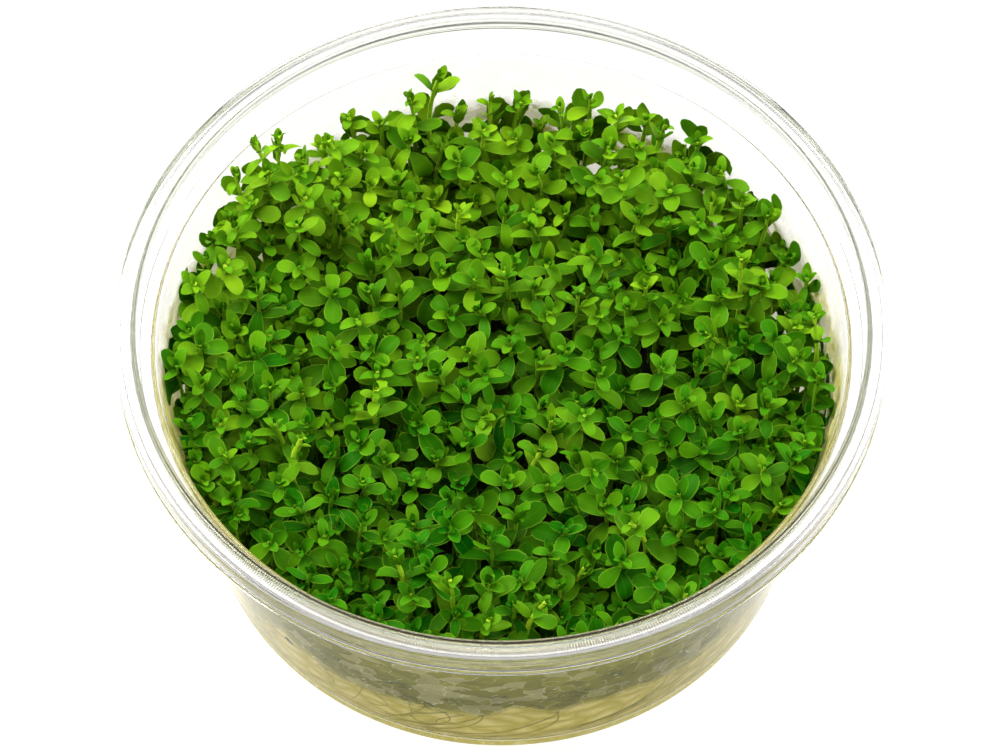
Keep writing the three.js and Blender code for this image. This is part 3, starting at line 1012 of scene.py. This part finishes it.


# %% [markdown]
# ## Many parts in one mesh
# A clump has about a hundred thousand corners. Joining thousands of small objects would be
# slow, so the points and faces of all its parts are collected first and become one mesh at the
# end. Each point keeps the look of its part: tone, which for a leaf is partly painted light,
# youth, whether it is a stem, and age.

# %% Collect the parts of a plant
class Growth:
    """Collects the points and faces of many small plant parts into one mesh."""

    def __init__(self):
        self.points, self.faces, self.uv, self.look = [], [], [], []
        self.count = 0

    def add(self, points, faces, uv, look):
        self.faces += [tuple(index + self.count for index in face) for face in faces]
        self.points.append(points)
        self.uv.append(uv)
        self.look.append(np.tile(look, (len(points), 1)))
        self.count += len(points)

    def add_tube(self, path, radii, sides, look):
        points, faces = tube(path, radii, sides)
        self.add(points, faces, np.full((len(points), 2), 0.5), look)

    def to_object(self, name):
        mesh = bpy.data.meshes.new(name)
        points = np.concatenate(self.points) * MM
        mesh.from_pydata(points.tolist(), [], self.faces)
        corners = np.zeros(len(mesh.loops), dtype=np.int32)
        mesh.loops.foreach_get("vertex_index", corners)
        layer = mesh.uv_layers.new(name="leaf")
        layer.data.foreach_set("uv", np.concatenate(self.uv)[corners].ravel())
        looks = mesh.attributes.new("look", "FLOAT_COLOR", "POINT")
        looks.data.foreach_set("color", np.concatenate(self.look).ravel())
        piece = bpy.data.objects.new(name, mesh)
        bpy.context.collection.objects.link(piece)
        start_piece()
        piece.select_set(True)
        bpy.context.view_layer.objects.active = piece
        bpy.ops.object.shade_smooth_by_angle(angle=math.radians(60))
        return piece


# %% Add one leaf
EXTRA_BENDS = (0.0, 0.8, 1.6, 2.3)
PRESSED_GAP = 0.15
REACHES_WALL = 2.5


def grow_leaf(growth, pattern, place, axes, length, shape, look):
    """Adds one leaf, bent further upwards if it would push through the wall."""
    cup, arch, twist = shape
    for bend in EXTRA_BENDS:
        local = bend_leaf(pattern["points"], length, cup, arch - bend, twist)
        points = place + local @ axes
        room = wall_radius(points[:, 2]) - WALL_CLEARANCE
        if np.all(np.hypot(points[:, 0], points[:, 1]) <= room):
            break
    growth.add(keep_inside(points), pattern["faces"], pattern["uv"], look)


def press_leaf(growth, pattern, place, length, way, look):
    """Adds one leaf that bends from its stem to the wall and lies flat against it."""
    across, along, up = (pattern["points"] * length).T
    sideways = across * math.cos(way) + along * math.sin(way)
    height = place[2] - across * math.sin(way) + along * math.cos(way)
    pressed = wall_radius(height) - WALL_CLEARANCE - PRESSED_GAP
    reached = np.clip(REACHES_WALL * pattern["points"][:, 1], 0, 1)
    radius = np.hypot(place[0], place[1]) * (1 - reached) + pressed * reached + up
    direction = math.atan2(place[1], place[0]) + sideways / wall_radius(place[2])
    points = np.column_stack([radius * np.cos(direction), radius * np.sin(direction), height])
    growth.add(points, pattern["faces"], pattern["uv"], look)


# %% Leaves up the stem
# Each pair: distance below the tip, length, rise above level in degrees, and pattern
LEAF_PAIRS = [
    (0.0, 0.9, 80, "young"), (0.3, 1.5, 66, "young"), (0.8, 2.4, 50, "young"),
    (1.8, 3.4, 34, "old"), (3.3, 4.1, 20, "old"), (5.6, 4.3, 8, "old"), (8.6, 4.1, -6, "old"),
    (12.0, 3.8, -16, "narrow"), (15.8, 3.4, -22, "narrow"), (19.8, 3.0, -28, "narrow"),
]
PAIR_TURN = math.pi / 2
LEAF_BASE_GAP = 0.2
LEAST_ARCH = 0.01
SLIM_SHARE = 0.4
DEEPEST_INSIDE, BARE_FOOT = 13.0, 2.5
# Leaves near the wall may lie flat on it, from the fourth pair down and above the gel
NEAR_WALL = 3.4
PRESSED_SHARE = 0.7
PRESSED_LOWEST = 18.5
LAST_FREE_PAIR = 3
# A leaf's tone is part chance and part painted light: the light of its place, from sunny()
LUCK_IN_TONE, LIGHT_IN_TONE = 0.52, 0.48


def below_tip_of(path, steps, below):
    """The point of a stem at a distance below its tip."""
    return np.array([np.interp(below, steps, path[::-1, i]) for i in range(3)])


def grow_shoot(growth, shoot):
    """Adds a stem and its pairs of leaves."""
    path = stem_path(shoot)
    youth = shoot["youth"]
    thick = 1 + 0.4 * max(youth - 0.5, 0)
    radii = thick * np.linspace(STEM_FOOT_RADIUS, STEM_TIP_RADIUS, STEM_POINTS)
    growth.add_tube(path, radii, STEM_SIDES, (luck.random(), youth, 1.0, 1.0))
    lengths = np.linalg.norm(np.diff(path, axis=0), axis=1)
    steps = np.concatenate([[0], np.cumsum(lengths[::-1])])
    heading = luck.uniform(0, math.tau)
    light = sunny(shoot["x"], shoot["y"])
    vigour = luck.uniform(0.92, 1.16)
    slim = luck.random() < SLIM_SHARE
    at_wall = math.hypot(shoot["x"], shoot["y"]) > SEEN_THROUGH_WALL
    deepest = steps[-1] - BARE_FOOT if at_wall else DEEPEST_INSIDE
    for number, (below, length, rise, kind) in enumerate(LEAF_PAIRS):
        pattern = leaf_patterns["narrow" if slim and kind == "old" else kind]
        below = below * shoot["stretch"] * luck.uniform(0.85, 1.2)
        if below > deepest:
            break
        place = below_tip_of(path, steps, below)
        ahead = below_tip_of(path, steps, max(below - 1, 0))
        behind = below_tip_of(path, steps, below + 1)
        stem_way = unit(ahead - behind)
        near_wall = math.hypot(place[0], place[1]) > wall_radius(place[2]) - NEAR_WALL
        may_press = near_wall and place[2] > PRESSED_LOWEST and number > LAST_FREE_PAIR
        for side in (0, math.pi):
            angle = heading + side + luck.normal(0, 0.2)
            tilt = math.radians(rise + luck.normal(0, 19))
            axes = leaf_axes(stem_way, angle, tilt)
            size = length * vigour * luck.uniform(0.84, 1.1)
            arch = luck.normal(0.45, 0.5)
            shape = (luck.uniform(-0.1, 1.8), arch if abs(arch) > LEAST_ARCH else LEAST_ARCH,
                     luck.normal(0, 0.4))
            # Painted light: half of the tone comes from the light at the shoot's place
            tone = LUCK_IN_TONE * luck.random() + LIGHT_IN_TONE * light
            look = (tone, youth, 0.0, number / (len(LEAF_PAIRS) - 1))
            if may_press and luck.random() < PRESSED_SHARE:
                press_leaf(growth, pattern, place, size, luck.uniform(0, math.tau), look)
            else:
                base = place + axes[1] * LEAF_BASE_GAP
                grow_leaf(growth, pattern, base, axes, size, shape, look)
        heading += PAIR_TURN + luck.normal(0, 0.12)


# %% [markdown]
# ## Roots
# Fine roots leave the mat in loose bundles and run down between the gel and the wall.
# Neighbours sweep the same way, like combed hair, and curl under at the bottom. Each root is a
# thin tube that tapers to its tip, and its way sideways comes from a slow wave round the cup
# with a little chance added. Young roots are olive, smooth and moist, with a soft shine.

# %% Grow the roots
BUNDLES = 13
ROOTS_IN_BUNDLE = 6
ROOT_POINTS, ROOT_SIDES = 14, 5
ROOT_RADIUS, ROOT_TAPER = 0.14, 0.6
ROOT_TOP = 12.2
ROOT_GAP, ROOT_TIP_GAP = 0.17, 0.03


def root_path(start):
    """Points down the wall, from the mat to the bottom of the gel."""
    t = np.linspace(0, 1, ROOT_POINTS)
    bottom = luck.uniform(2.7, 5.5)
    sweep = -0.24 - 0.18 * math.cos(2 * (start + 0.9)) + luck.normal(0, 0.06)
    curl = luck.normal(0, 0.05) * np.sin(t * math.pi * luck.uniform(1.0, 2.2))
    direction = start + sweep * t ** 1.4 + curl
    height = ROOT_TOP + (bottom - ROOT_TOP) * np.sin(t * math.pi / 2) ** 0.9
    radius = wall_radius(height) - ROOT_GAP - ROOT_TIP_GAP * t ** 6
    return np.column_stack([radius * np.cos(direction), radius * np.sin(direction), height])


def root_surface():
    material, add = new_material("young_root")
    place = add("TexCoord").outputs["Object"]
    patches = add("TexNoise", {"Vector": place, "Scale": 1 / (4 * MM)})
    shade = add("Mix", {"Factor": patches, "A": "#90901c", "B": "#bcb63a"}, data_type="RGBA")
    return finish_material(material, add("BsdfPrincipled", {
        "Base Color": shade, "Roughness": 0.5}))


root_growth = Growth()
for number in range(BUNDLES * ROOTS_IN_BUNDLE):
    start = number % BUNDLES * math.tau / BUNDLES + luck.normal(0, 0.12)
    thick = luck.uniform(0.7, 1.0)
    radii = thick * np.linspace(ROOT_RADIUS, ROOT_TAPER * ROOT_RADIUS, ROOT_POINTS)
    root_growth.add_tube(root_path(start), radii, ROOT_SIDES, (0.5, 0.5, 1.0, 1.0))
roots = root_growth.to_object("roots")
roots.data.materials.append(root_surface())
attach(roots, "root")
report(roots)

# %% [markdown]
# ## Leaf colour
# Fresh leaves are a strong yellow-green, older ones darker and cooler. A leaf is thin, so light
# also comes through it: part of the surface is translucent. The skin is waxy, which gives a
# satin shine with a green tint. The midrib is a little paler than the blade, the margin is
# painted paler as painted light along the edge, and the base is painted darker, as shade where
# the leaves of a pair shade each other. Each leaf carries its own age, youth and tone, which
# were stored with its points as it was made; the tone is half chance and half painted light,
# brighter and yellower at the back where the lamps hang.

# %% Leaf material
# Colours by age, from the bud to the foot of the shoot
AGE_COLOURS = (
    (0.0, "#2c780a"), (0.12, "#387e07"), (0.3, "#417d07"), (0.45, "#256604"),
    (0.62, "#104a03"), (0.8, "#093502"), (1.0, "#062402"),
)
DARK_BASE_LENGTH, DARK_BASE = 0.45, 0.55
MARGIN_FROM, MARGIN_FULL, MARGIN = 0.42, 0.48, 0.55
MIDRIB_WIDTH, MIDRIB = 0.04, 0.12
TRANSLUCENT_SHARE = 0.3


def leaf_surface():
    material, add = new_material("pearlweed_leaf")
    look = add("Attribute", attribute_name="look").outputs
    tone, youth, stem = add("SeparateColor", (look["Color"],)).outputs
    by_age = add("ValToRGB", (look["Alpha"],))
    ramp = by_age.color_ramp.elements
    ramp[0].color, ramp[1].color = colour(AGE_COLOURS[0][1]), colour(AGE_COLOURS[-1][1])
    for age, shade in AGE_COLOURS[1:-1]:
        ramp.new(age).color = colour(shade)
    fresh = add("Math", (youth, 0.5), "MULTIPLY")
    young = add("Mix", {"Factor": fresh, "A": by_age, "B": "#86b21a"}, data_type="RGBA")
    # Painted light: brighter and yellower with the tone
    brightness = add("MapRange", (tone, 0.0, 1.0, 0.62, 1.74))
    hue = add("MapRange", (tone, 0.0, 1.0, 0.535, 0.474))
    varied = add("HueSaturation", {"Color": young, "Value": brightness, "Hue": hue})

    uv = add("UVMap", uv_map="leaf")
    across, along, _ = add("SeparateXYZ", (uv,)).outputs
    base = add("MapRange", (along, 0.0, DARK_BASE_LENGTH, DARK_BASE, 0.0))
    shaded = add("Mix", {"Factor": base, "A": varied, "B": "#0c4404"}, data_type="RGBA")
    from_midrib = add("Math", (across, 0.5), "SUBTRACT")
    aside = add("Math", (from_midrib,), "ABSOLUTE")
    # Painted light: the margin is paler, as light along the thin edge; the midrib is really paler
    margin = add("MapRange", (aside, MARGIN_FROM, MARGIN_FULL, 0.0, MARGIN))
    midrib = add("MapRange", (aside, 0.0, MIDRIB_WIDTH, MIDRIB, 0.0))
    pale = add("Math", (margin, midrib), "MAXIMUM")
    blade = add("Mix", {"Factor": pale, "A": shaded, "B": "#8ab82e"}, data_type="RGBA")
    stem_shade = add("Mix", {"Factor": youth, "A": "#5f9c18", "B": "#c4ea38"}, data_type="RGBA")
    green = add("Mix", {"Factor": stem, "A": blade, "B": stem_shade}, data_type="RGBA")

    skin = add("BsdfPrincipled", {
        "Base Color": green, "Roughness": 0.38, "Specular IOR Level": 0.1,
        "Specular Tint": "#a6e060"})
    shining_through = add("BsdfTranslucent", {"Color": green})
    return finish_material(material, add("MixShader", (TRANSLUCENT_SHARE, skin, shining_through)))


leaf_material = leaf_surface()

# %% [markdown]
# ## The carpet
# The CAD model holds the plants as 19 clumps. Each shoot joins the clump that stands nearest,
# and each clump's shoots become one mesh that takes the clump's place.

# %% Grow the clumps
clump_names = sorted(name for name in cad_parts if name.startswith("clump"))
clump_centres = {}
for name in clump_names:
    low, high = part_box(name)
    clump_centres[name] = np.array(((low + high) / 2)[:2]) / MM

growths = {name: Growth() for name in clump_names}
for shoot in shoots:
    place = np.array([shoot["x"], shoot["y"]])
    nearest = min(clump_names, key=lambda name: np.linalg.norm(clump_centres[name] - place))
    grow_shoot(growths[nearest], shoot)

for name in clump_names:
    piece = growths[name].to_object(name.replace("clump", "shoots"))
    piece.data.materials.append(leaf_material)
    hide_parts(name)
    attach(piece, "root")
    report(piece)
